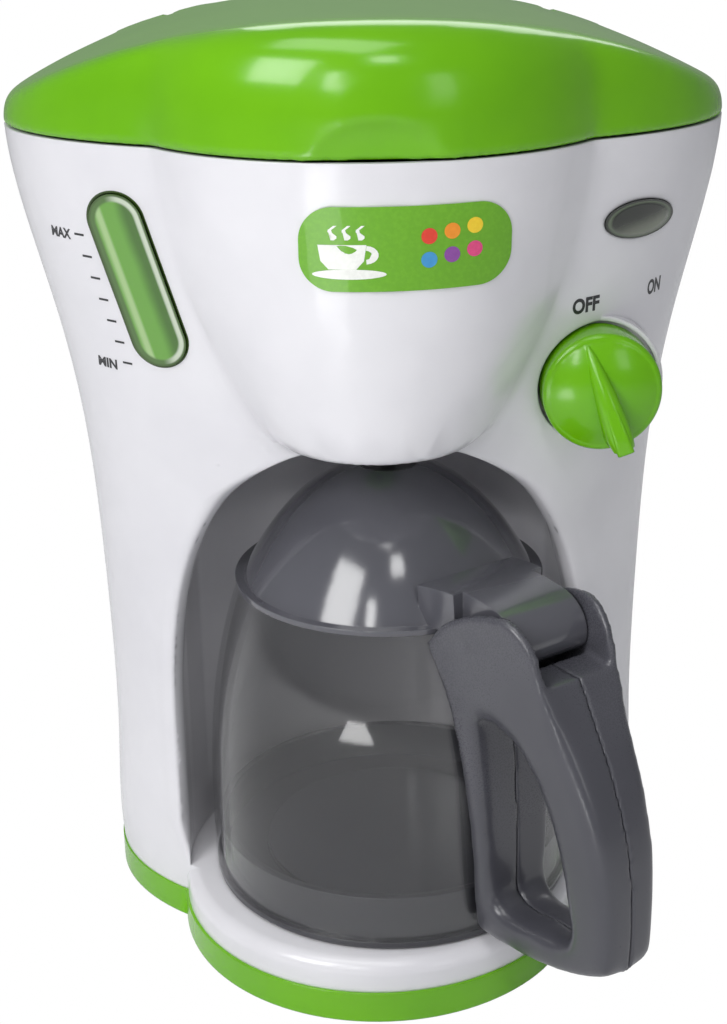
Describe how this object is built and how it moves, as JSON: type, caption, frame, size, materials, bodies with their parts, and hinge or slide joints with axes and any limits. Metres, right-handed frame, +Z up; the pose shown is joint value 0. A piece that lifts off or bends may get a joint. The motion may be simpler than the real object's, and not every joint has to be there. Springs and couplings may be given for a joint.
{
  "type": "toy coffee maker",
  "caption": "Toy drip coffee maker: wide flared housing with a brew head over an arched bay, crowned hinged lid, round knob, and a clear jug with domed lid and looped handle.",
  "frame": {"origin": "middle of the flat underside of the green base, halfway between its sides", "axes": "+Z up, -Y to the front where the jug slides out, +X to the right seen from the front"},
  "size_m": [0.1914, 0.1726, 0.255],
  "materials": {
    "white_plastic": "smooth",
    "green_plastic": "smooth",
    "green_lid": "smooth",
    "green_tank": "smooth",
    "grey_inner": "fine",
    "green_knob": "smooth",
    "clear_plastic": "polished",
    "grey_cup": "satin",
    "grey_handle": "satin",
    "grey_dome": "satin",
    "dark_plastic": "fine",
    "clear_lens": "polished",
    "dark_lens": "polished",
    "label_film": "printed",
    "board_green": "fine",
    "lamp_red": "polished",
    "paper_cone": "fibrous",
    "magnet": "ground",
    "cell_jacket": "sleeved",
    "contact_metal": "plated",
    "steel": "zinc plated"
  },
  "bodies": {
    "housing": {"front_shell": "white_plastic", "rear_shell": "white_plastic", "base_plate": "green_plastic", "lid_hinge_pins": "steel", "top_deck": "white_plastic", "water_tank": "green_tank", "drip_nozzle": "green_plastic", "gauge_lens": "clear_lens", "indicator_lens": "dark_lens", "front_label": "label_film", "circuit_board": "board_green", "board_chip": "dark_plastic", "indicator_led": "lamp_red", "board_screws": "steel", "power_switch": "dark_plastic", "speaker_frame": "steel", "speaker_cone": "paper_cone", "speaker_magnet": "magnet", "battery_box": "white_plastic", "battery_cells": "cell_jacket", "battery_contacts": "contact_metal", "battery_springs": "contact_metal", "battery_door": "white_plastic", "battery_door_screw": "steel", "housing_screws": "steel", "base_screws": "steel"},
    "lid": {"top_lid": "green_lid"},
    "knob": {"knob": "green_knob", "knob_crank": "grey_inner", "knob_screw": "steel"},
    "valve": {"valve_slider": "grey_inner", "switch_lever": "grey_inner"},
    "jug": {"jug_glass": "clear_plastic", "jug_base": "grey_cup", "jug_handle_left": "grey_handle", "jug_handle_right": "grey_handle", "jug_handle_screws": "steel", "jug_hinge_pin": "steel"},
    "jug_lid": {"jug_lid": "grey_dome", "jug_lid_vent": "dark_plastic"}
  },
  "joints": [
    {"name": "lid_hinge", "type": "hinge", "parent": "housing", "child": "lid", "pos_m": [0, 0.0714, 0.2264], "axis": [-1, 0, 0], "range_deg": [0, 80]},
    {"name": "knob_turn", "type": "hinge", "parent": "housing", "child": "knob", "pos_m": [0.0572, -0.019, 0.1615], "axis": [0, 1, 0], "range_deg": [0, 55]},
    {"name": "valve_slide", "type": "slide", "parent": "housing", "child": "valve", "axis": [1, 0, 0], "range_m": [0, 0.00462]},
    {"name": "jug_slide", "type": "slide", "parent": "housing", "child": "jug", "axis": [0, -1, 0], "range_m": [0, 0.3]},
    {"name": "jug_lid_hinge", "type": "hinge", "parent": "jug", "child": "jug_lid", "pos_m": [0.03325, -0.05593, 0.11], "axis": [0.8387, 0.5446, 0], "range_deg": [0, 50]}
  ],
  "couplings": [
    {"joint": "valve_slide", "follows": "knob_turn", "m_per_rad": 0.0048102},
    {"joint": "jug_lid_hinge", "follows": "jug_slide", "rad_per_m": 2.9088}
  ]
}
